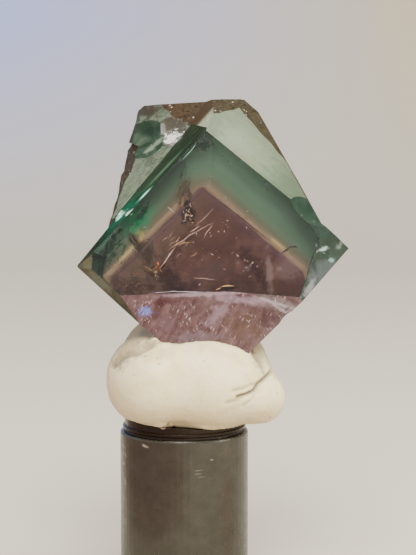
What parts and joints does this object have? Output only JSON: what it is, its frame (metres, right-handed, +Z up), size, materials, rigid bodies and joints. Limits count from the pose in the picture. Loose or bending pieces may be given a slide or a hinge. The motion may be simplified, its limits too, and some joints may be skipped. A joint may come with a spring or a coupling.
{
  "type": "colour-zoned fluorite octahedron on a mounting post",
  "caption": "Clear green and purple fluorite octahedron with a flat window and broken edges, stood on its corner in a lump of off-white putty on a round metal post.",
  "frame": {"origin": "the middle of the post's flat foot", "axes": "+Z up along the post, +X to the right seen from the front, -Y the way the crystal's clear window faces"},
  "size_m": [0.0327, 0.0254, 0.0601],
  "materials": {
    "fluorite": "clear green with a purple core, vitreous flat faces and frosted breaks",
    "putty": "soft satin putty with finger marks",
    "satin_steel": "dark satin with fine scratches"
  },
  "bodies": {
    "root": {"crystal": "fluorite", "putty": "putty", "post": "satin_steel"}
  },
  "joints": []
}
